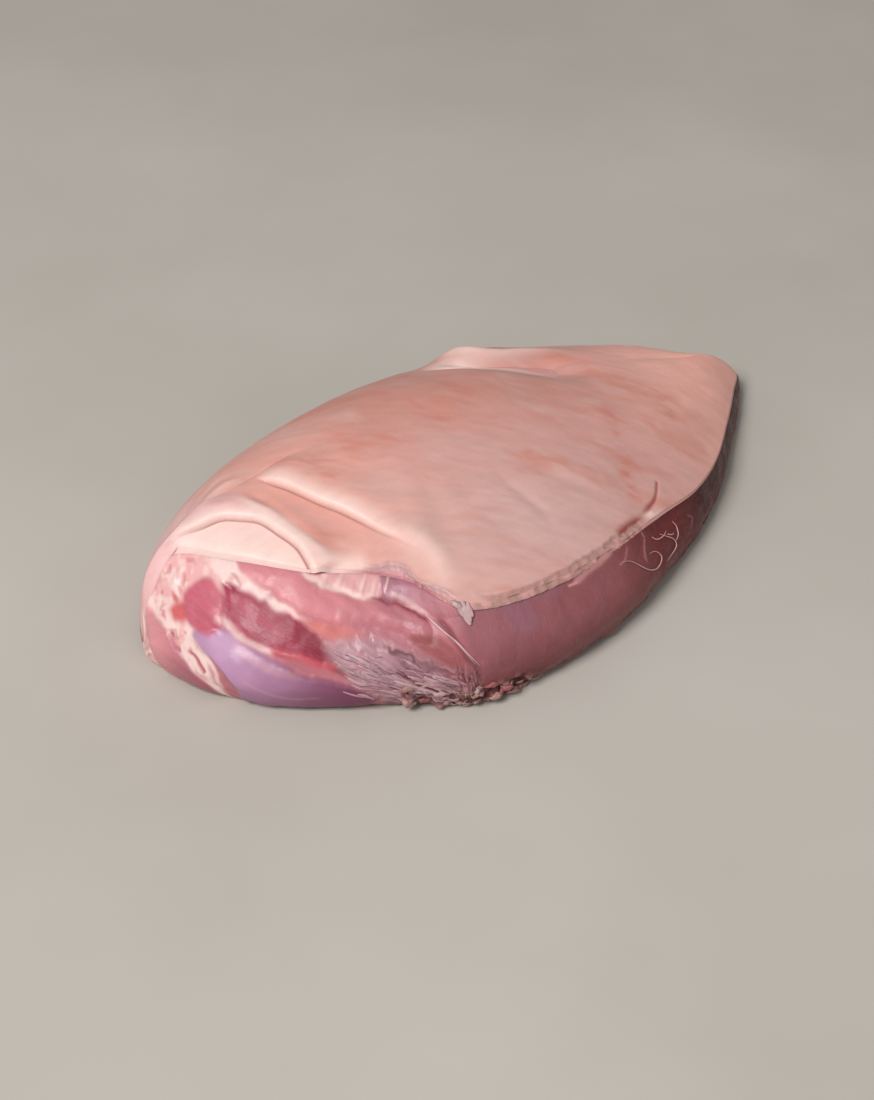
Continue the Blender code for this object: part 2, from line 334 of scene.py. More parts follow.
# Each seam: its line, half width in mm, colour, strength, and height in mm.
SEAMS = [
    ([(13.22, .70), (12.97, .655), (12.78, .60), (12.46, .565), (12.13, .52)], 1.3, FAT, .6, .1),
    ([(12.35, .555), (11.98, .53), (11.67, .505), (11.35, .47), (11.1, .44)], 1.6, RED, .8, .6),
    ([(13.72, .57), (13.57, .52), (13.40, .47), (13.17, .35), (13.0, .14)], 1.1, FAT, .8, .3),
    ([(13.87, .62), (13.72, .50), (13.53, .38), (13.27, .24)], 1.0, FAT, .9, .3),
    ([(14.05, .55), (13.94, .48), (13.8, .4)], .9, CRIMSON, .9, -1.2),
    ([(13.66, .44), (13.5, .4), (13.38, .32), (13.3, .27)], .9, CRIMSON, .85, -1.0),
    ([(12.1, 1.0), (11.85, .96), (11.65, .92), (11.4, .9), (10.95, .87), (10.6, .862)], .9, FAT, .8, .2),
    ([(10.45, .9), (10.2, .885), (9.95, .86), (9.6, .83)], .9, FAT, .5, .3),
    ([(10.95, .858), (10.46, .858), (10.0, .835), (9.8, .81), (9.6, .79)], .6, CRIMSON_DARK, .8, -.7),
    ([(9.6, .83), (9.37, .79), (9.2, .69), (9.07, .57), (8.95, .47), (8.94, .33), (9.0, .12)], 1.3, BLOOD,
     .55, -1.5),
    ([(10.56, 1.02), (10.52, .95), (10.56, .89)], .7, FAT, .7, .4),
    ([(13.1, .84), (12.9, .88), (13.1, .93)], .6, CRIMSON, .5, -.5),
    ([(12.9, .58), (12.5, .48), (12.1, .42), (11.7, .385)], 1.8, FAT_PINK, .22, .05),
    ([(12.7, .34), (12.3, .26), (11.9, .22), (11.3, .22)], .7, FAT_PINK, .2, .05),
    ([(6.85, .87), (6.6, .91), (6.3, .93), (6.0, .96)], 1.6, FAT_PINK, .55, .2),
    ([(6.93, .885), (6.84, .87), (6.76, .88)], .8, FAT_PINK, .8, .2),
    ([(14.42, 1.0), (14.35, .97), (14.33, .9), (14.28, .86)], 1.5, GRISTLE_RED, .55, -.5),
    ([(13.99, .79), (13.9, .75), (13.82, .73)], 1.3, GRISTLE_RED, .7, -.5),
    ([(13.78, .89), (13.73, .86), (13.78, .81)], 1.1, GRISTLE_RED, .6, -.5),
    ([(13.72, .93), (13.62, .91), (13.67, .88)], .5, FAT_PINK, .7, .4),
    ([(13.95, .86), (13.85, .83)], 2.2, FAT, .6, .8),
    ([(14.2, .96), (14.05, .93)], 2.4, FAT, .5, .8),
    ([(13.5, .96), (13.4, .93)], 2.4, FAT, .5, .5),
    ([(5.41, .97), (5.43, .86), (5.56, .74), (5.6, .62)], .5, FAT_PINK, .45, .3),
    ([(5.75, .93), (5.9, .82), (6.05, .8)], .5, FAT_PINK, .4, .2),
    ([(4.42, .76), (4.32, .64), (4.42, .54)], .7, LOBE, .5, .3),
]


def region_depth(outline, places):
    """How far inside a closed smooth outline each place is, in mm; negative outside."""
    corners = on_wall(outline)
    path = smooth_line(np.vstack([corners[-1:], corners, corners[:2]]), 6)[6:-6]
    low, high = path.min(0) - 12, path.max(0) + 12
    near = ((places > low) & (places < high)).all(-1)
    p = places[near]
    best = np.full(len(p), np.inf)
    inside = np.zeros(len(p), bool)
    for start, end in zip(path[:-1], path[1:]):
        step = end - start
        f = np.clip((p - start) @ step / max(step @ step, 1e-9), 0, 1)
        off = p - start - f[:, None] * step
        best = np.minimum(best, np.hypot(off[:, 0], off[:, 1]))
        if start[1] != end[1]:
            crosses = (start[1] > p[:, 1]) != (end[1] > p[:, 1])
            meets = start[0] + (p[:, 1] - start[1]) / (end[1] - start[1]) * step[0]
            inside ^= crosses & (p[:, 0] < meets)
    depth = np.full(places.shape[:-1], -99.0)
    depth[near] = np.where(inside, best, -best)
    return depth


def along_grain(places, degrees):
    turn = np.radians(degrees)
    return np.stack([
        places[..., 0] * np.cos(turn) + places[..., 1] * np.sin(turn),
        places[..., 1] * np.cos(turn) - places[..., 0] * np.sin(turn),
    ], -1)


def wall_colour(station, share):
    """The long front muscle: mauve at the corner, browner towards the tip and darker there, partly its own
    dark red-brown and partly painted shade.
    """
    at = (0, 3.9, 4.6, 5.2, 6.2, 8.8, 23, 25)
    shades = (MAUVE_DARKEST, MAUVE_DARKEST, MAUVE_DARK, MAUVE_DARK, MAUVE_BROWN, MAUVE, MAUVE, MAUVE_DARKEST)
    return np.stack([np.interp(station, at, [shade[k] for shade in shades]) for k in range(3)], -1)


def meat_surface(station, share):
    """Height, colour, shares of fat and silverskin, and fibre direction at each place on the wall."""
    places = on_wall(np.stack([station, share], -1))
    face = smoothstep(8.9, 9.3, station) * smoothstep(16.5, 15, station)
    # The fibres run down to the right across the cut face, and upright on the front wall.
    grain = along_grain(places, -20 * face + 80 * (1 - face))
    streaks = fractal(grain, (24, 2.2), 2, 11)
    blotches = fractal(places, 16, 3, 5)
    warp = np.stack([fractal(places, 5, 2, 6), fractal(places, 5, 2, 7)], -1)

    colour = wall_colour(station, share)
    colour = blend(colour, PINK_RIGHT, face)
    film = smoothstep(-0.2, 0.6, blotches) * (1 - face)
    film = film * smoothstep(5.9, 7.6, station) * smoothstep(0.25, 0.8, share)
    colour = blend(colour, FILM, 0.7 * film)
    colour = blend(colour, BLOOD, 0.6 * smoothstep(0.86, 0.97, share) * smoothstep(5.8, 5.0, station))
    # Painted shade darkens the lower part of the front wall.
    colour = blend(colour, MAUVE_DARK, 0.8 * smoothstep(0.75, 0.1, share) * (1 - face))
    height = 2.5 * bell((station - 6.6) / 2.2) * bell((share - 0.5) / 0.35)
    fat = np.zeros_like(share)
    silver = np.zeros_like(share)
    strings = np.zeros_like(share)
    for name, outline, left, right, softness, swell in REGIONS:
        depth = region_depth(outline, places + 0.65 * warp)
        inside = smoothstep(-softness, softness, depth)
        stations = [place[0] for place in outline]
        across = np.clip((max(stations) - station) / (max(stations) - min(stations)), 0, 1)
        fill = left + (right - left) * smoothstep(0.1, 0.95, across)[..., None]
        colour = colour + (fill - colour) * inside[..., None]
        height = height + swell * (1 - np.exp(-np.maximum(depth + softness, 0) / 3.5))
        height = height - 0.35 * bell(depth / 0.7) * (swell > 1.2)
        is_fat = left is FAT
        fat = fat * (1 - inside) + inside * is_fat
        silver = silver * (1 - inside) + inside * (name == "silverskin")
        strings = strings * (1 - inside) + inside * (name == "strings")
        if name == "silverskin":
            height = height + 2.0 * bell((share - 0.34) / 0.24) * inside
            colour = blend(colour, SILVER_RIGHT, 0.35 * inside * smoothstep(0.34, 0.08, share))
        if name == "fibre band":
            grain = np.where((inside > 0.5)[..., None], along_grain(places, 84), grain)
            ribs = noise(places, (1.4, 14), 17)
            colour = blend(colour, FAT, 0.5 * inside * smoothstep(0.1, 0.7, ribs))
            height = height + 0.2 * ribs * inside
    for line, width, band_colour, strength, swell in SEAMS:
        signed, along = near_line(on_wall(line), places + 0.5 * warp, 14)
        off = np.where(np.isfinite(signed), np.abs(signed), 99)
        ends = smoothstep(0, 0.15, along) * smoothstep(1, 0.85, along)
        shape = bell(off / width) * ends
        colour = blend(colour, band_colour, strength * np.clip(1.3 * shape, 0, 1))
        height = height + swell * bell(off / (width * 1.2)) * ends
        if band_colour is FAT:
            fat = np.maximum(fat, 0.3 * shape)

    # Fat is lumpy with pink specks, and fine dark and pale streaks follow the fibres.
    lumps = fractal(places, 6, 3, 21)
    colour = blend(colour, FAT_PINK, fat * smoothstep(0.0, 0.7, fractal(places, 5, 3, 23)) * 0.8)
    specks = smoothstep(0.45, 0.75, fractal(places, 3.2, 2, 25)) * fat * smoothstep(13.3, 13.7, station)
    colour = blend(colour, RED, 0.45 * specks)
    height = height + fat * (0.35 * lumps) - 0.3 * specks
    corner = bell((station - 9.2) / 0.22) * smoothstep(0.1, 0.5, share) * smoothstep(0.8, 0.6, share)
    colour = blend(colour, BROWN, 0.6 * corner)
    even = (1 - fat) * (1 - 0.75 * silver)
    shade = 1 + 0.10 * streaks * (0.35 + 0.65 * face) * even + 0.05 * blotches
    colour = colour * shade[..., None]
    height = height + 0.1 * streaks * face * even

    # The strings stand up in ridges, and the foot of the corner is ragged.
    ridges = 1 - 2 * np.abs(fractal(grain + 2.0 * warp, (20, 2.6), 2, 31))
    dark = fractal(grain + 2.0 * warp, (15, 2.2), 2, 35)
    height = height + strings * (0.6 * ridges + 0.3 * dark)
    colour = blend(colour, GREY, 0.5 * strings * smoothstep(0.2, 0.8, ridges))
    colour = blend(colour, PINK_RIGHT, 0.55 * strings * smoothstep(0.2, 0.7, fractal(places, 9, 2, 37)))
    gaps = smoothstep(0.0, -0.6, dark) * smoothstep(10.9, 10.2, station)
    colour = blend(colour, BLOOD, 0.75 * strings * gaps)
    ragged = smoothstep(10.4, 9.9, station) * smoothstep(7.4, 8.2, station) * smoothstep(0.34, 0.2, share)
    clods = fractal(places, (7, 4.5), 3, 41)
    height = height + 3.0 * ragged * clods
    colour = blend(colour, MAUVE_DARKEST, 0.7 * ragged)
    colour = blend(colour, FAT_TAN, 0.7 * ragged * smoothstep(0.2, 0.6, clods))
    fat = np.maximum(fat, 0.7 * ragged * smoothstep(0.1, 0.6, clods))
    low = smoothstep(0.3, 0.1, share) * smoothstep(9, 7.5, station)
    height = height + 0.3 * fractal(places, 9, 2, 51) + 1.0 * low * fractal(places, 6, 2, 53)
    height = height * smoothstep(0, 0.1, share) * smoothstep(1.0, 0.94, share)
    return height, colour, fat, silver, grain


# ------------------------------------------------------------------ folds of the rind
# A fold: its crease in plan with the roll on its left, the roll's height and half width, how far
# the roll takes to fade, the drop below the crease and how far that takes to recover, and the
# shares of the crease over which it grows and dies away.
FOLDS = [
    ([(-142, 31), (-134, 29), (-125, 25), (-115, 22), (-108, 16), (-101, 8), (-97, -5), (-94, -16),
     (-94, -25), (-95, -34)], 3.0, 6.5, 8, 1.6, 8, .3, .04),
    ([(-88, 36), (-80, 23), (-75, 12), (-70, 1), (-64, -9), (-59, -19), (-54, -30), (-49, -41),
     (-44, -54)], 2.8, 8.0, 15, 2.6, 15, .12, .5),
]
# A ripple: its line, its height (below 0 for a furrow) and its half width.
RIPPLES = [
    ([(50, 90), (56, 79), (67, 67), (77, 55), (92, 45), (106, 35), (120, 27)], 4.6, 4.5),
    ([(60, 86), (71, 67), (82, 57), (97, 51), (115, 47), (144, 39)], -3.6, 3.2),
    ([(52, 112), (68, 94), (84, 75), (98, 66), (118, 60), (140, 54)], 3.2, 4.5),
    ([(74, 110), (84, 94), (90, 82), (99, 75), (114, 72)], -2.6, 4.0),
    ([(-94, 48), (-103, 53), (-112, 50), (-124, 38), (-131, 29)], -1.6, 3.0),
    ([(-96, 62), (-110, 58), (-126, 45), (-137, 33)], -1.4, 3.0),
    ([(-90, 40), (-101, 43), (-112, 40), (-122, 32)], 1.6, 3.0),
    ([(-50, -24), (-46, -35), (-42, -47), (-40, -58), (-41, -72), (-42, -84)], 2.2, 6.5),
    ([(-16, -10), (-21, -24), (-25, -38), (-28, -52), (-31, -68)], -1.3, 8.0),
    ([(-100, 28), (-95, 22), (-91, 9), (-88, -8), (-82, -24), (-73, -36)], -1.6, 3.0),
    ([(15, -21), (19, -38), (25, -58), (27, -70)], -0.7, 3.5),
    ([(34, -30), (50, -44), (66, -58)], -0.5, 3.5),
]
HOLLOW = [(36, 92), (58, 74), (85, 54), (110, 38), (136, 26)]
SLIT = [(105, -52), (97, -61), (89, -66), (80, -71), (68, -75), (56, -80)]
TORN = [(-72, -40), (-67, -45), (-60, -48.5), (-55.5, -54), (-55, -62), (-51.5, -70), (-47, -79), (-44, -86)]
STRIP_TOP = [(88, -69), (70, -74.5), (56, -79), (45, -82.5), (28, -87), (13, -90), (0, -91.5), (-19, -91.5),
             (-36, -87)]
# Faint bands in the skin's colour: pale stretched skin with painted highlights along the rolls, a painted
# shadow line above roll 1's crest, greyer bands near the corner, and painted shade in the back flap's
# grooves. Each: the line, its half width, its colour and its strength.
TINTS = [
    ([(-93, -24), (-84, -31), (-75, -38), (-66, -43)], 6.0, RIND_STRETCHED_AND_HIGHLIGHT, .75),
    # A painted shadow line above roll 1's crest, in the blush colour.
    ([(-102, 30), (-93, 22), (-89, 9), (-85, -11), (-79, -26), (-70, -37)], 2.6, RIND_BLUSH_AND_SHADE, .4),
    # A painted highlight on roll 1's crest.
    ([(-105, 33), (-100, 20), (-95, 7), (-91, -9), (-88, -21), (-86, -29)], 2.4, RIND_STRETCHED_AND_HIGHLIGHT, .7),
    ([(-20, -18), (-26, -37), (-35, -51), (-41, -65), (-44, -80)], 8.0, RIND_GREY, .45),
    ([(-50, -44), (-49, -57), (-46, -70)], 4.0, RIND_GREY, .4),
    # Painted shade in the back flap's grooves.
    ([(80, 100), (84, 80), (92, 67), (112, 56)], 4.0, RIND_SHADE, .8),
    ([(66, 72), (76, 56), (92, 45), (110, 36)], 2.4, RIND_SHADE, .6),
]
BLOTCHES = [
    ([(106, 4), (107, -8), (104, -17), (102, -26)], 5.0, .5),
    ([(101, -24), (91, -43), (85, -55), (80, -70)], 4.0, .8),
    ([(158, 16), (153, -3), (145, -18)], 8.0, .5),
    ([(26, -12), (40, -26), (50, -33), (66, -45)], 5.0, .5),
    ([(120, 22), (134, 12), (150, 2)], 7.0, .4),
    ([(19, 16), (31, 6), (52, -6)], 5.0, .25),
    ([(40, 10), (62, -2), (84, -10)], 5.0, .25),
]


def distance_to(line, plan, reach):
    """Signed distance from a line, 99 beyond reach, and the share along it."""
    signed, along = near_line(line, plan, reach)
    return np.where(np.isfinite(signed), signed, 99), along


def rind_surface(plan):
    """Height, sideways push and colour of the rind, in plan."""
    height = 0.6 * fractal(plan, 34, 2, 61) + 0.08 * noise(plan, 6, 63)
    push = np.zeros(plan.shape)
    crease = np.zeros(plan.shape[:-1])
    stretched = np.zeros(plan.shape[:-1])
    valley = np.zeros(plan.shape[:-1])
    lip = np.zeros(plan.shape[:-1])
    for line, roll, roll_width, fade, drop, drop_width, grow, die in FOLDS:
        d, along = distance_to(line, plan, 60)
        ends = smoothstep(0, grow, along) * smoothstep(1, 1 - die, along) * (np.abs(d) < 60)
        over = np.clip(d / roll_width, 0, 1)
        up = np.sqrt(1 - (1 - over) ** 2) * bell(np.maximum(d - roll_width, 0) / fade)
        down = np.exp(-np.maximum(-d, 0) / drop_width) * smoothstep(0.8, -0.8, d)
        height = height + ends * (roll * up * (d > 0) - drop * down)
        # Painted shade: a thin dark line at the foot of each crease, under the roll's edge.
        crease = np.maximum(crease, ends * bell((d + 0.9) / 0.6))
        # The pale band on each roll is partly the stretched skin's own paler tone and partly a painted
        # highlight.
        band = smoothstep(-0.7, 0.4, d) * bell(np.maximum(d - 0.2 * roll_width, 0) / (0.7 * roll_width))
        stretched = np.maximum(stretched, np.sqrt(ends) * band)
        if drop_width > 10:
            far = 1 - 0.8 * smoothstep(0.2, 0.8, along)
            below = smoothstep(0, -2, d) * bell(np.maximum(-d - 9, 0) / 5)
            valley = np.maximum(valley, far * smoothstep(0, 0.1, along) * below)
        else:
            lip = smoothstep(0.8, -1.5, d) * (np.abs(d) < 50) * smoothstep(0, 0.1, along)
        path = smooth_line(line)
        heading = path[-1] - path[0]
        heading = heading / np.hypot(*heading)
        lean = 1.4 * ends * bell((d - 2.5) / 2.5) * (d > -0.5)
        push = push + lean[..., None] * np.array([heading[1], -heading[0]])
    for line, swell, width in RIPPLES:
        d, along = distance_to(line, plan, 4 * width)
        ends = smoothstep(0, 0.3, along) * smoothstep(1, 0.6, along)
        height = height + swell * bell(d / width) * ends
        # The ripples' crests are paled the same way, partly with a painted highlight.
        stretched = np.maximum(stretched, 0.2 * max(swell, 0) * bell(d / width) * ends)
    d, along = distance_to(HOLLOW, plan, 30)
    height = height - 9 * bell(d / 10) * smoothstep(0, 0.3, along) * smoothstep(1, 0.6, along)
    height = height + 4 * bell((plan[..., 0] - 86) / 24) * bell((plan[..., 1] - 90) / 12)

    d, along = distance_to(SLIT, plan, 12)
    gape = 0.6 + 1.3 * smoothstep(0.1, 0.7, along)
    cut = bell(d / gape) * (along > 0.01) * smoothstep(1, 0.9, along)
    height = height - 1.2 * cut
    d, along = distance_to(STRIP_TOP, plan, 16)
    ragged = 0.9 * fractal(plan, 5, 2, 87)
    bare = smoothstep(-0.4, 0.4, ragged - 0.3 + d) * (np.abs(d) < 20)
    bare = bare * smoothstep(0.0, 0.12, along) * smoothstep(1, 0.93, along)
    lumps = fractal(plan, 2.4, 3, 89)
    height = height + bare * (0.55 * lumps - 0.7) + 0.5 * (1 - bare) * bell(d / 1.5)

    colour = rind_colour(plan, np.maximum(stretched, lip), valley * (1 - lip))
    # The painted shade along each crease goes on here.
    colour = blend(colour, RIND_CREASE_SHADE, 0.8 * crease)
    colour = blend(colour, RIND_BLOOD, 0.9 * cut)
    white = bell((plan[..., 0] - 86) / 7) * bell((plan[..., 1] + 70.5) / 2.6)
    colour = blend(colour, RIND_STRETCHED_AND_HIGHLIGHT, 0.7 * white)
    # At the corner the rind is torn back, and a film with a lumpy pale border takes its place.
    d, along = distance_to(TORN, plan + 0.8 * np.stack([lumps, -lumps], -1), 14)
    ends = smoothstep(0, 0.15, along) * smoothstep(1, 0.8, along) * (np.abs(d) < 14)
    torn = smoothstep(-0.3, 0.4, -d) * ends
    colour = blend(colour, LOBE_RIGHT + (FAT_PINK - LOBE_RIGHT) * 0.3, torn)
    border = bell((d + 0.2) / 1.5) * ends
    colour = blend(colour, FAT_GREY, 0.8 * border)
    height = height - 1.6 * torn + border * (0.7 + 0.6 * lumps)
    tan = blend(np.broadcast_to(FAT_TAN, colour.shape), FAT_PINK, 0.5 * smoothstep(0.0, 0.8, lumps))
    colour = colour + (tan - colour) * bare[..., None]
    colour = blend(colour, FAT_TAN, 0.6 * bell(d / 0.7) * (bare > 0.02))
    return height, push, colour


def rind_colour(plan, stretched, valley):
    """The skin's colour: paler over the front, partly its own tone and partly painted light; browner over
    the back, partly painted shade; brighter at the tip with painted light; blushed in streaks.
    """
    x, y = plan[..., 0], plan[..., 1]
    colour = np.broadcast_to(RIND, plan.shape[:-1] + (3,)).copy()
    pale = bell((x - 12) / 80) * bell((y + 64) / 42)
    back = smoothstep(-10, 45, y + 0.15 * x)
    left = smoothstep(-10, -65, x)
    tip = smoothstep(95, 185, x)
    # Browner and darker over the back: partly the skin's own tone, partly painted shade.
    colour = blend(colour, RIND_BROWN, 0.7 * back * (1 - tip))
    colour = blend(colour, RIND_SALMON, 0.8 * left * (1 - 0.3 * back))
    # Painted light brightens the tip.
    colour = blend(colour, RIND_TIP_LIT, tip)
    # Paler over the front: partly the skin's own tone, partly painted light.
    colour = blend(colour, RIND_PALE, 0.95 * pale)
    colour = blend(colour, RIND_LEFT, 0.85 * smoothstep(-80, -110, x + 0.35 * y))
    # A pale patch over the back flap's left end, where its ridges catch the light: partly stretched skin,
    # partly a painted highlight.
    colour = blend(colour, RIND_STRETCHED_AND_HIGHLIGHT, 0.8 * bell((x - 62) / 18) * bell((y - 76) / 14))
    streak = along_grain(plan, -42)
    mottle = fractal(streak + 4 * noise(plan, 14, 75)[..., None], (26, 9), 4, 71)
    blush = 0.42 * smoothstep(0.1, 1.1, mottle) * (1 - 0.6 * pale) * (1 - 0.6 * tip)
    colour = blend(colour, RIND_BLUSH_AND_SHADE, blush)
    colour = blend(colour, RIND_PALE, 0.42 * smoothstep(-0.1, -1.0, mottle) * (1 - tip))
    fine = fractal(along_grain(plan, -38), (12, 3), 3, 73)
    colour = colour * (1 + 0.05 * fine)[..., None]
    warped = plan + 2.6 * np.stack([fractal(plan, 9, 3, 83), fractal(plan, 9, 3, 85)], -1)
    patchy = smoothstep(-0.7, 0.5, fractal(streak, (9, 3.5), 3, 81))
    for line, width, tint, strength in TINTS:
        d, along = distance_to(line, plan, width * 3)
        ends = smoothstep(0, 0.25, along) * smoothstep(1, 0.75, along)
        colour = blend(colour, tint, strength * bell(d / width) * ends)
    for line, width, strength in BLOTCHES:
        d, along = distance_to(line, warped, width * 4)
        ends = smoothstep(0, 0.25, along) * smoothstep(1, 0.75, along)
        colour = blend(colour, RIND_BLUSH_AND_SHADE, strength * bell(d / width) * ends * (0.15 + 0.85 * patchy))
    colour = blend(colour, RIND_SALMON, 0.85 * valley)
    return blend(colour, RIND_STRETCHED_AND_HIGHLIGHT, 0.85 * stretched)


# ------------------------------------------------------------------ meshes
# The spacing of each mesh's columns, as (station, mm), its numbers of rows, and how many torn
# shreds and scraps lie on the meat.
MEAT_SPACING = [(0, 1.6), (4, 1.1), (7.3, 1.0), (8, .62), (16, .62), (17, 4), (24.5, 4), (25, 1.6)]
RIND_SPACING = [(0, 1.6), (3, 1.6), (4, 1.0), (6, 1.0), (7, 1.5), (9, 1.0), (9.6, .56), (15.5, .56),
                (16.5, 2), (18, 4), (20, 3.4), (20.8, 1.8), (23.4, 1.8), (24.5, 2), (25, 1.6)]
WALL_ROWS = 82
RIND_ROWS = 108
EDGE_ROWS = 8
SHREDS = 90
SCRAPS = 52


def to_world(points):
    return (points - (CENTRE[0], CENTRE[1], 0)) * MM


def ring_faces(rows, count, start=0):
    """Quads of a stack of closed rings, facing outwards when the rings run clockwise upwards."""
    i, j = np.meshgrid(np.arange(rows - 1), np.arange(count), indexing="ij")
    after = (j + 1) % count
    quads = np.stack([i * count + j, (i + 1) * count + j, (i + 1) * count + after, i * count + after], -1)
    return quads.reshape(-1, 4) + start


def sewn_faces(ring, start, upwards):
    """Triangles that sew a narrow ring's two sides together, from the tip to the blunt end."""
    count = len(ring)
    end = int(ring[:, 0].argmin())
    front, back = 0, count
    faces = []
    while front < end or back > end:
        front_x = ring[front + 1, 0] if front < end else -np.inf
        back_x = ring[back - 1, 0] if back > end else -np.inf
        if front_x >= back_x:
            face = (front, back % count, front + 1)
            front += 1
        else:
            face = (front, back % count, back - 1)
            back -= 1
        if len(set(face)) == 3:
            faces.append([k + start for k in (face if upwards else face[::-1])])
    return faces


def make_piece(name, rings, attributes, material):
    """One closed piece from a stack of rings, its first and last ring sewn shut."""
    rows, count = rings.shape[:2]
    mesh = bpy.data.meshes.new(name)
    faces = ring_faces(rows, count).tolist()
    faces += sewn_faces(rings[0], 0, False)
    faces += sewn_faces(rings[-1], (rows - 1) * count, True)
    mesh.from_pydata(to_world(rings.reshape(-1, 3)).tolist(), [], faces)
    add_attributes(mesh, attributes)
    return finish_piece(mesh, name, material)


def add_attributes(mesh, attributes):
    """Values at each vertex that the material reads: colours, and vectors of three values."""
    for key, values in attributes.items():
        if key == "tone":
            layer = mesh.attributes.new(key, "FLOAT_COLOR", "POINT")
            rgba = np.ones((len(mesh.vertices), 4))
            rgba[:, :3] = np.clip(values.reshape(-1, 3), 0, 1)
            layer.data.foreach_set("color", rgba.ravel())
        else:
            layer = mesh.attributes.new(key, "FLOAT_VECTOR", "POINT")
            layer.data.foreach_set("vector", values.reshape(-1, 3).ravel())


def finish_piece(mesh, name, material):
    mesh.shade_smooth()
    mesh.materials.append(material)
    piece = bpy.data.objects.new(name, mesh)
    bpy.context.scene.collection.objects.link(piece)
    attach(piece, "root")
    return piece


def meat(material):
    """The bare muscle: a flat underside, the side wall, and a lid hidden under the rind."""
    station = columns(MEAT_SPACING)
    outline = around(station)
    thickness = rind_thickness(station)
    top = 1 - thickness / outline[:, 2]
    share = np.linspace(0, 1, WALL_ROWS)[:, None] * top
    wall = wall_point(np.broadcast_to(outline, (WALL_ROWS,) + outline.shape), share)
    normals = normals_of(wall)
    wide = np.broadcast_to(station, share.shape)
    height, colour, fat, silver, grain = meat_surface(wide, share)
    front = smoothstep(4, 7, station) * smoothstep(11, 9.5, station)
    recess = 1.4 * smoothstep(12, 30, outline[:, 2]) * front
    wall = wall + normals * height[..., None]
    wall[..., :2] -= outward_at(outline[:, 3:5]) * (recess * smoothstep(0.6, 1, share / top))[..., None]
    wall[..., 2] = np.maximum(wall[..., 2], 0)
    wall[0, :, 2] = 0

    foot = wall[0]
    under = []
    for reach in (0.04, 0.12, 0.3, 0.5, 0.7, 0.88, 0.96):
        ring = np.zeros_like(foot)
        ring[:, :2] = MIDDLE + (foot[:, :2] - MIDDLE) * reach
        ring[:, 2] = 0.5 * np.maximum(noise(ring[:, :2], 22, 91), 0)
        under.append(ring)
    lid = []
    for step in (0.004, 0.02, 0.1, 0.3, 0.6, 0.9):
        ring = rind_point(outline, np.full(len(station), step))
        ring[:, 2] -= 5 + 6 * step
        ring[:, :2] += (MIDDLE - ring[:, :2]) * 0.03
        lid.append(ring)
    rings = np.concatenate([np.array(under), wall, np.array(lid)])
    below, above = len(under), len(lid)

    def pad(values, edge_low, edge_high):
        low = np.repeat(edge_low[None], below, 0)
        high = np.repeat(edge_high[None], above, 0)
        return np.concatenate([low, values, high])

    under_colour = blend(np.broadcast_to(MAUVE, (below, len(station), 3)), PINK_RIGHT,
                         smoothstep(-0.3, 0.6, fractal(np.array(under)[..., :2], 30, 3, 95)))
    tone = np.concatenate([under_colour, colour, np.repeat(colour[-1:], above, 0)])
    kinds = np.stack([fat, silver, smoothstep(6.5, 4.3, wide) * np.ones_like(share)], -1)
    kinds = pad(kinds, kinds[0], kinds[-1])
    flow = np.concatenate([grain, np.zeros(grain.shape[:-1] + (1,))], -1) / 100
    flow = pad(flow, flow[0], flow[-1])
    piece = make_piece("meat", rings, {"tone": tone, "kinds": kinds, "flow": flow}, material)
    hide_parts("pork_joint")
    return piece


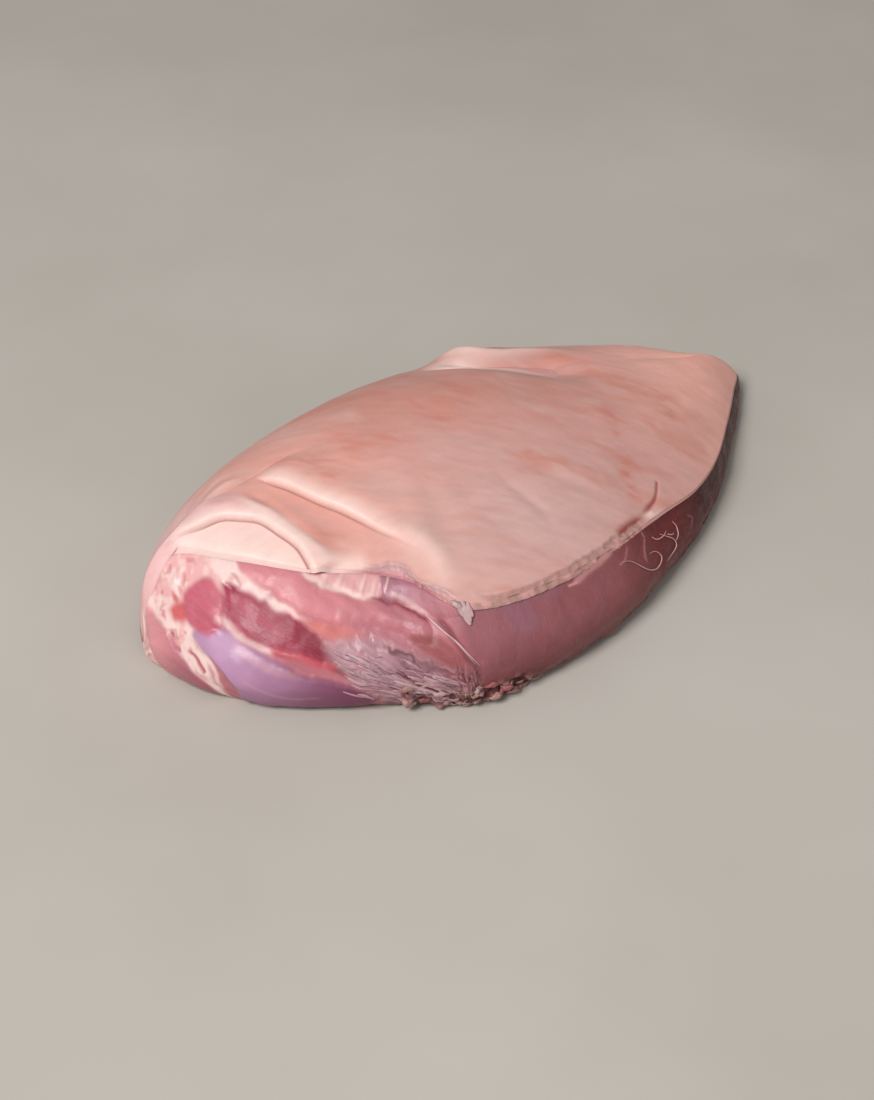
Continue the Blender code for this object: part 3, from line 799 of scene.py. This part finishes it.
def rind(material):
    """The rind: its skin, its cut edge, and its inner side."""
    station = columns(RIND_SPACING)
    outline = around(station)
    share = np.linspace(0, 1, RIND_ROWS)[:, None] ** 1.4 * 0.985
    wide = np.broadcast_to(outline, (RIND_ROWS,) + outline.shape)
    skin = rind_point(wide, np.broadcast_to(share, wide.shape[:2]))
    normals = normals_of(skin)
    normals[0] = normals[1]
    lift = normals * 0.5 + (0, 0, 0.5)
    lift /= np.linalg.norm(lift, axis=2)[..., None]
    height, push, colour = rind_surface(skin[..., :2])
    fade = smoothstep(14, 30, outline[:, 2])
    near_rim = 1 - (1 - fade) * smoothstep(0.12, 0.0, share)
    skin = skin + lift * (height * near_rim)[..., None]
    skin[..., :2] += push

    thickness = rind_thickness(station)
    fatty = np.interp(station, (5, 6, 9, 9.7), (0, 1, 1, 0))
    arc = np.interp(station, np.arange(len(ARC)), ARC)
    edge, edge_colour = [], []
    for k in range(EDGE_ROWS, 0, -1):
        down = k / EDGE_ROWS
        ring = wall_point(outline, 1 - down * thickness / outline[:, 2])
        ring += skin[0] - outline[:, :3]
        places = np.stack([arc, np.full(len(station), down * thickness.mean())], -1)
        lumps = fractal(places, 3.2, 3, 101)
        bulge = 0.9 * fatty * lumps + 0.12 * lumps - 0.5 * (1 - down)
        bulge = bulge * math.sin(math.pi * min(down * 1.4, 1))
        ring[:, :2] += outward_at(outline[:, 3:5]) * bulge[:, None]
        edge.append(ring)
        pale = np.interp(station, (11.0, 11.4, 15, 16), (0, 0.9, 0.9, 0))
        torn = np.interp(station, (9.2, 9.6, 10.9, 11.1), (0, 1, 1, 0))
        tone = blend(np.broadcast_to(RIND, ring.shape), FAT, pale)
        tone = blend(tone, FAT_TAN, smoothstep(0.1, 0.3, down) * (0.3 + 0.7 * fatty) * (1 - pale))
        tone = blend(tone, FAT_PINK, fatty * smoothstep(0.0, 0.7, lumps) * smoothstep(0.1, 0.3, down))
        edge_colour.append(blend(tone, LOBE_RIGHT, torn))
    edge, edge_colour = np.array(edge), np.array(edge_colour)

    inner = []
    for step in (0.93, 0.7, 0.45, 0.25, 0.12, 0.05, 0.015):
        ring = rind_point(outline, np.full(len(station), step))
        drop = np.interp(step, (0, 0.1, 1), (3.4, 4.5, 6))
        ring[:, 2] -= drop
        ring[:, :2] += (MIDDLE - ring[:, :2]) * 0.02
        inner.append(ring)
    inner = np.array(inner)
    rings = np.concatenate([inner, edge, skin])
    tone = np.concatenate([np.broadcast_to(FAT_PINK, inner.shape), edge_colour, colour])
    return make_piece("rind", rings, {"tone": tone}, material)


def meat_point(station, share, lift=0.0):
    """Points on the finished bare meat, lifted off it in mm, and its outward normals."""
    station, share = np.atleast_1d(station).astype(float), np.atleast_1d(share).astype(float)

    def plain(stations, shares):
        return wall_point(around(stations), shares)

    along = plain(station + 0.02, share) - plain(station - 0.02, share)
    up = plain(station, np.minimum(share + 0.02, 1)) - plain(station, share - 0.02)
    normals = np.cross(up, along)
    normals /= np.linalg.norm(normals, axis=1)[:, None]
    height = meat_surface(station, share)[0] + lift
    return plain(station, share) + normals * height[:, None], normals


def strip_rings(path, normals, width, thickness, sides=6):
    """Rings of an oval band along a path, its flat side against the surface, with closed ends."""
    heading = np.gradient(path, axis=0)
    heading /= np.linalg.norm(heading, axis=1)[:, None]
    side = np.cross(heading, normals)
    side /= np.linalg.norm(side, axis=1)[:, None]
    out = np.cross(side, heading)
    turn = np.arange(sides) * 2 * math.pi / sides
    return (path[:, None] + side[:, None] * np.cos(turn)[:, None] * width[:, None, None]
            + out[:, None] * np.sin(turn)[:, None] * thickness[:, None, None])


def strips_piece(name, strips, material):
    """Many oval bands as one piece. Each is (rings, colour at each ring)."""
    vertices, faces, tones = [], [], []
    for rings, colours in strips:
        start = len(vertices)
        rows, count = rings.shape[:2]
        vertices += to_world(rings.reshape(-1, 3)).tolist()
        faces += (ring_faces(rows, count) + start).tolist()
        faces.append([start + k for k in range(count)])
        faces.append([start + rows * count - 1 - k for k in range(count)])
        tones.append(np.repeat(colours, count, 0))
    mesh = bpy.data.meshes.new(name)
    mesh.from_pydata(vertices, [], faces)
    mesh.update()
    tone = np.concatenate(tones)
    add_attributes(mesh, {"tone": tone, "kinds": np.tile((1.0, 0.0, 0.0), (len(tone), 1)),
                          "flow": np.array(vertices)})
    return finish_piece(mesh, name, material)


def strip_along(places, width, thickness, colours, lift=0.0, per_span=5, rough=0.0, sides=6):
    """A tapering band laid along (station, share) places on the meat."""
    line = smooth_line(places, per_span)
    points, normals = meat_point(line[:, 0], line[:, 1])
    along = np.linspace(0, 1, len(line))
    points = points + normals * (lift * np.sin(math.pi * along) + 0.15)[:, None]
    taper = np.sqrt(np.clip(np.sin(math.pi * (0.04 + 0.92 * along)), 0.02, 1))
    shade = colours[0] + (colours[1] - colours[0]) * along[:, None]
    rings = strip_rings(points, normals, width * taper, thickness * taper, sides)
    if rough:
        centre = rings.mean(1, keepdims=True)
        uneven = 1 + rough * fractal(rings, 2.6, 3, 111)
        rings = centre + (rings - centre) * uneven[..., None]
        shade = shade * (1 + 0.5 * rough * fractal(points, 3.0, 2, 113))[:, None]
    return rings, shade


def shreds(material):
    """Torn membrane along the fibres at the corner's foot, and scraps of fat below it."""
    rng = np.random.default_rng(12)
    bands = []
    for _ in range(SHREDS):
        station = rng.uniform(9.1, 11.0)
        middle = 0.10 + 0.19 * (station - 9.0)
        share = float(np.clip(middle + rng.normal(0, 0.1), 0.06, 0.6))
        length = rng.uniform(0.2, 0.7)
        slope = rng.uniform(0.15, 0.2)
        bend = rng.normal(0, 0.006, 4)
        steps = np.linspace(-0.5, 0.5, 4)
        places = [(station - length * t, share - slope * length * t + b) for t, b in zip(steps, bend)]
        start = GREY + (FAT_GREY - GREY) * rng.uniform(-0.6, 1.0)
        end = start + (GREY_DARK - start) * rng.uniform(0.2, 0.8)
        bands.append(strip_along(places, rng.uniform(0.3, 1.2), rng.uniform(0.12, 0.25), (start, end),
                                 lift=rng.uniform(0, 0.25), rough=0.3))
    for _ in range(SCRAPS):
        station = rng.uniform(7.6, 10.1)
        share = 0.03 + 0.28 * rng.random() * smoothstep(7.2, 9.0, station)
        length, turn = rng.uniform(0.1, 0.32), rng.uniform(-0.4, 0.3)
        places = [(station - length * t, share + 0.4 * turn * length * t) for t in (-0.5, 0, 0.5)]
        tone = (FAT_TAN, FAT_GREY, FAT_TAN, BROWN)[rng.integers(4)]
        size = rng.uniform(0.8, 2.2)
        bands.append(strip_along(places, size, size * 0.45, (tone, tone * 0.7),
                                 per_span=8, rough=0.7, sides=8))
    return strips_piece("shreds", bands, material)


def threads(material):
    """Curled threads of tendon on the front wall, and the long one beside the dark seam."""
    curls = [
        [(5.47, .71), (5.38, .69), (5.31, .645), (5.28, .585), (5.31, .53), (5.40, .505), (5.50, .52),
         (5.60, .57), (5.69, .64), (5.76, .71), (5.86, .79), (5.98, .83)],
        [(5.13, .80), (5.04, .73), (4.95, .66), (4.89, .59), (4.88, .53), (4.93, .49), (5.03, .465),
         (5.15, .45)],
        [(4.78, .82), (4.755, .74), (4.77, .67), (4.81, .61), (4.88, .56)],
        [(5.0, .74), (4.93, .70), (4.85, .69)],
        [(5.3, .84), (5.24, .78), (5.1, .76), (4.98, .78)],
    ]
    bands = [strip_along(curl, 0.34, 0.3, (FAT_PINK, FAT_GREY), lift=0.6, per_span=6) for curl in curls]
    bands.append(strip_along([(9.7, .83), (9.45, .77), (9.2, .69), (9.03, .59), (8.88, .49)], 0.4, 0.35,
                             (FAT, GREY), lift=0.3, per_span=8))
    bands.append(strip_along([(9.62, .79), (9.35, .74), (9.12, .63), (8.95, .5)], 0.3, 0.3,
                             (GREY, GREY), lift=0.2, per_span=8))
    return strips_piece("threads", bands, material)


def torn_fat(material):
    """The forked tag of fat that hangs from the rind's torn corner."""
    bands = []
    for places, width in (
        ([(9.04, 1.0), (8.95, .95), (8.89, .89), (8.845, .83)], 1.9),
        ([(8.86, 1.0), (8.86, .95), (8.85, .9), (8.83, .85)], 2.3),
        ([(8.74, 1.0), (8.76, .96), (8.76, .92), (8.75, .89)], 1.6),
        ([(9.12, .99), (9.02, .97), (8.94, .94)], 1.3),
    ):
        bands.append(strip_along(places, width, 0.4, (FAT_GREY, FAT_GREY * 1.1),
                                 lift=0.1, per_span=8, rough=0.35))
    return strips_piece("torn_fat", bands, material)


# ------------------------------------------------------------------ materials
class Nodes:
    """A short way to build a material's node tree."""

    def __init__(self, name):
        self.material = bpy.data.materials.new(name)
        self.material.use_nodes = True
        self.tree = self.material.node_tree
        self.shader = self.tree.nodes["Principled BSDF"]

    def add(self, kind, **settings):
        node = self.tree.nodes.new("ShaderNode" + kind)
        for key, value in settings.items():
            setattr(node, key, value)
        return node

    def set(self, socket, value):
        if isinstance(value, bpy.types.NodeSocket):
            self.tree.links.new(value, socket)
        else:
            socket.default_value = value

    def attribute(self, name):
        return self.add("Attribute", attribute_name=name)

    def noise(self, vector, scale, detail=3.0, roughness=0.55, distortion=0.0):
        node = self.add("TexNoise")
        self.set(node.inputs["Vector"], vector)
        node.inputs["Scale"].default_value = scale
        node.inputs["Detail"].default_value = detail
        node.inputs["Roughness"].default_value = roughness
        node.inputs["Distortion"].default_value = distortion
        return node.outputs["Fac"]

    def stretched(self, vector, scale):
        node = self.add("Mapping")
        self.set(node.inputs["Vector"], vector)
        node.inputs["Scale"].default_value = scale
        return node.outputs["Vector"]

    def remap(self, value, low, high, to_low, to_high):
        node = self.add("MapRange")
        self.set(node.inputs["Value"], value)
        for key, number in zip(("From Min", "From Max", "To Min", "To Max"), (low, high, to_low, to_high)):
            self.set(node.inputs[key], number)
        return node.outputs["Result"]

    def math(self, operation, first, second):
        node = self.add("Math", operation=operation)
        self.set(node.inputs[0], first)
        self.set(node.inputs[1], second)
        return node.outputs[0]

    def mix(self, amount, first, second, how="MIX"):
        node = self.add("Mix", data_type="RGBA", blend_type=how)
        self.set(node.inputs[0], amount)
        self.set(node.inputs[6], first)
        self.set(node.inputs[7], second)
        return node.outputs[2]

    def bump(self, height, strength, distance, normal=None):
        node = self.add("Bump")
        self.set(node.inputs["Height"], height)
        node.inputs["Strength"].default_value = strength
        node.inputs["Distance"].default_value = distance
        if normal:
            self.set(node.inputs["Normal"], normal)
        return node.outputs["Normal"]

    def split(self, vector):
        node = self.add("SeparateXYZ")
        self.set(node.inputs[0], vector)
        return node.outputs


def rind_material():
    n = Nodes("rind_skin")
    place = n.add("TexCoord").outputs["Object"]
    tone = n.attribute("tone").outputs["Color"]
    turned = n.add("Mapping")
    n.set(turned.inputs["Vector"], place)
    turned.inputs["Rotation"].default_value = (0, 0, math.radians(42))
    turned.inputs["Scale"].default_value = (1, 4, 2)
    streak = n.noise(turned.outputs["Vector"], 45, 4)
    pores = n.noise(place, 900, 2)
    grey = n.mix(n.remap(streak, 0.35, 0.75, 0, 0.16), tone, (0.50, 0.24, 0.19, 1))
    colour = n.mix(n.remap(pores, 0.55, 0.8, 0, 0.10), grey, (0.42, 0.20, 0.17, 1))
    n.set(n.shader.inputs["Base Color"], colour)
    uneven = n.noise(place, 60, 3)
    n.set(n.shader.inputs["Roughness"], n.remap(uneven, 0.3, 0.7, 0.40, 0.54))
    n.shader.inputs["Specular IOR Level"].default_value = 0.42
    n.shader.inputs["Subsurface Weight"].default_value = 0.15
    n.shader.inputs["Subsurface Radius"].default_value = (1.0, 0.45, 0.3)
    n.shader.inputs["Subsurface Scale"].default_value = 0.003
    fine = n.math("ADD", n.math("MULTIPLY", pores, 0.35), n.noise(place, 260, 3))
    n.set(n.shader.inputs["Normal"], n.bump(fine, 0.18, 0.0006, n.bump(streak, 0.25, 0.0012)))
    return n.material


def meat_material():
    n = Nodes("lean_meat")
    place = n.add("TexCoord").outputs["Object"]
    tone = n.attribute("tone").outputs["Color"]
    flow = n.attribute("flow").outputs["Vector"]
    kinds = n.split(n.attribute("kinds").outputs["Vector"])
    fat, silver, dull = kinds[0], kinds[1], kinds[2]
    fibres = n.noise(n.stretched(flow, (1.0, 12.0, 1.0)), 18, 3, 0.6, 0.3)
    threads = n.noise(n.stretched(flow, (1.0, 16.0, 1.0)), 50, 2)
    lean = n.math("SUBTRACT", 1.0, n.math("MAXIMUM", fat, silver))
    pale_fibres = n.math("MULTIPLY", n.remap(fibres, 0.52, 0.75, 0, 0.16), lean)
    lighter = n.mix(pale_fibres, tone, (0.80, 0.42, 0.44, 1))
    dark_threads = n.math("MULTIPLY", n.remap(threads, 0.5, 0.25, 0, 0.25), lean)
    darker = n.mix(dark_threads, lighter, (0.22, 0.05, 0.06, 1))
    n.set(n.shader.inputs["Base Color"], darker)
    patches = n.noise(place, 90, 3)
    wet = n.remap(patches, 0.35, 0.65, 0.2, 0.42)
    smoother = n.math("MULTIPLY", n.math("MAXIMUM", fat, silver), 0.1)
    n.set(n.shader.inputs["Roughness"], n.math("ADD", wet, smoother))
    gloss = n.remap(lean, 0, 1, 0.34, 0.22)
    n.set(n.shader.inputs["Specular IOR Level"], n.math("SUBTRACT", gloss, n.math("MULTIPLY", dull, 0.13)))
    n.shader.inputs["Subsurface Weight"].default_value = 0.12
    n.shader.inputs["Subsurface Radius"].default_value = (1.0, 0.3, 0.25)
    n.shader.inputs["Subsurface Scale"].default_value = 0.002
    ridges = n.math("MULTIPLY", fibres, n.math("MULTIPLY", lean, 0.8))
    grained = n.math("ADD", ridges, n.noise(place, 240, 3))
    n.set(n.shader.inputs["Normal"], n.bump(grained, 0.2, 0.0009))
    return n.material


def floor_material():
    n = Nodes("floor")
    place = n.add("TexCoord").outputs["Object"]
    cloud = n.noise(place, 3.0, 4)
    colour = n.mix(n.remap(cloud, 0.3, 0.7, 0, 1), (0.46, 0.42, 0.37, 1), (0.53, 0.49, 0.44, 1))
    n.set(n.shader.inputs["Base Color"], colour)
    n.shader.inputs["Roughness"].default_value = 0.8
    return n.material


# ------------------------------------------------------------------ stage
AZIMUTH, ELEVATION = math.radians(-34), math.radians(38)
CAMERA_DISTANCE = 1.125
CAMERA_LENS = 70
SHIFT_Y = -30 / 1100


def backward():
    return Vector((
        math.sin(AZIMUTH) * math.cos(ELEVATION),
        -math.cos(AZIMUTH) * math.cos(ELEVATION),
        math.sin(ELEVATION),
    ))


def make_camera():
    data = bpy.data.cameras.new("camera")
    data.lens = CAMERA_LENS
    data.sensor_width = 36
    data.shift_y = SHIFT_Y
    camera = bpy.data.objects.new("camera", data)
    bpy.context.scene.collection.objects.link(camera)
    back = backward()
    target = Vector((-CENTRE[0] * MM, -CENTRE[1] * MM, 0.03))
    right = Vector((math.cos(AZIMUTH), math.sin(AZIMUTH), 0))
    up = back.cross(right)
    turn = Matrix((right, up, back)).transposed().to_4x4()
    camera.matrix_world = Matrix.Translation(target + back * CAMERA_DISTANCE) @ turn
    bpy.context.scene.camera = camera


def make_light(name, place, size, power):
    data = bpy.data.lights.new(name, "AREA")
    data.shape = "DISK"
    data.size = size
    data.energy = power
    light = bpy.data.objects.new(name, data)
    bpy.context.scene.collection.objects.link(light)
    light.location = place
    light.rotation_euler = (-Vector(place)).to_track_quat("-Z", "Y").to_euler()


def make_stage():
    mesh = bpy.data.meshes.new("floor")
    mesh.from_pydata([(-6, -6, 0), (6, -6, 0), (6, 6, 0), (-6, 6, 0)], [], [(0, 1, 2, 3)])
    mesh.materials.append(floor_material())
    floor = bpy.data.objects.new("floor", mesh)
    bpy.context.scene.collection.objects.link(floor)
    make_light("key", (-1.9, -0.75, 2.3), 1.3, 78)
    make_light("fill", (0.6, -2.4, 1.6), 2.0, 8)
    world = bpy.data.worlds.new("studio")
    world.use_nodes = True
    background = world.node_tree.nodes["Background"]
    background.inputs["Color"].default_value = (1, 1, 1, 1)
    background.inputs["Strength"].default_value = 0.3
    bpy.context.scene.world = world
    bpy.context.scene.view_settings.view_transform = "Standard"


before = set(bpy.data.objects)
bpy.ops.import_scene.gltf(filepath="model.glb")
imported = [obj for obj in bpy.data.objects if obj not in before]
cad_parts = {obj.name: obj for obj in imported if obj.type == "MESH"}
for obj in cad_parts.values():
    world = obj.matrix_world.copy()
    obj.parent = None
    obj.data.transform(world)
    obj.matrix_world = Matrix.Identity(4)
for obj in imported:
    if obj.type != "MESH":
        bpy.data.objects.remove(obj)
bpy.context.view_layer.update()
make_camera()
make_stage()
meat(meat_material())
rind(rind_material())
fat_look = meat_material()
shreds(fat_look)
threads(fat_look)
torn_fat(fat_look)
